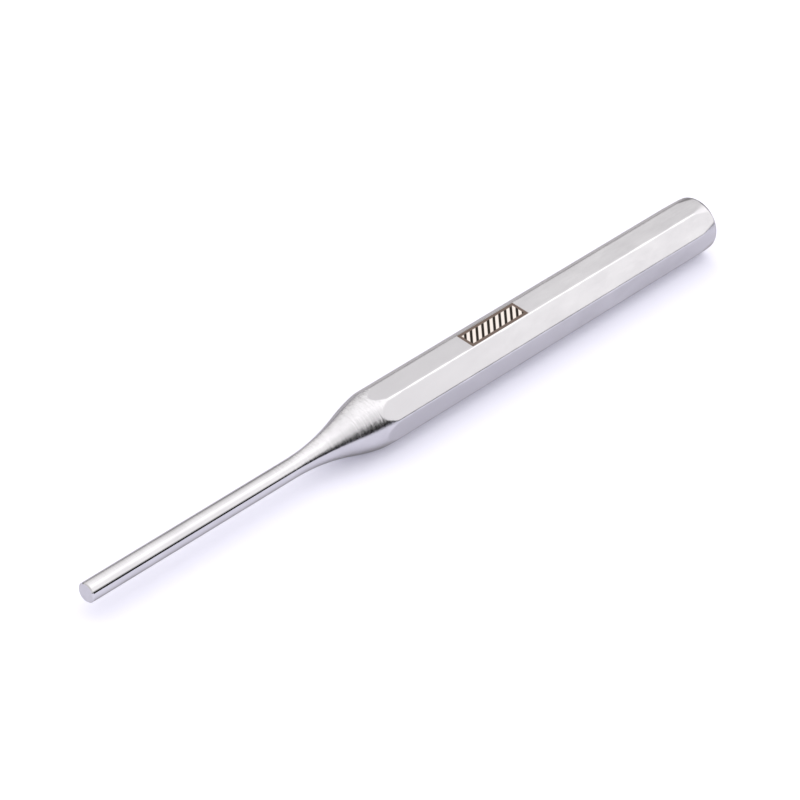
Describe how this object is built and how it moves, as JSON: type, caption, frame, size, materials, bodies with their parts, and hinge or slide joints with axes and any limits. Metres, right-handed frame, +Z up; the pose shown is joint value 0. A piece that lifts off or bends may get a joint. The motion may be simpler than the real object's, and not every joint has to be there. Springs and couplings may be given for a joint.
{
  "type": "pin punch",
  "caption": "Parallel pin punch: slim round pin with a flat end, curved turned shoulder, octagonal body lying on a flat, and a lightly tapered struck head.",
  "frame": {"origin": "bottom centre of the bounding box, on the surface that the punch lies on", "axes": "+X along the punch axis from the pin's tip to the struck head, +Z up, out of the body's upper flat"},
  "size_m": [0.15, 0.01, 0.01],
  "materials": {
    "satin_steel": "satin ground steel with a fine grain along the body and turning marks round the shoulder"
  },
  "bodies": {
    "root": {"pin_punch": "satin_steel"}
  },
  "joints": []
}
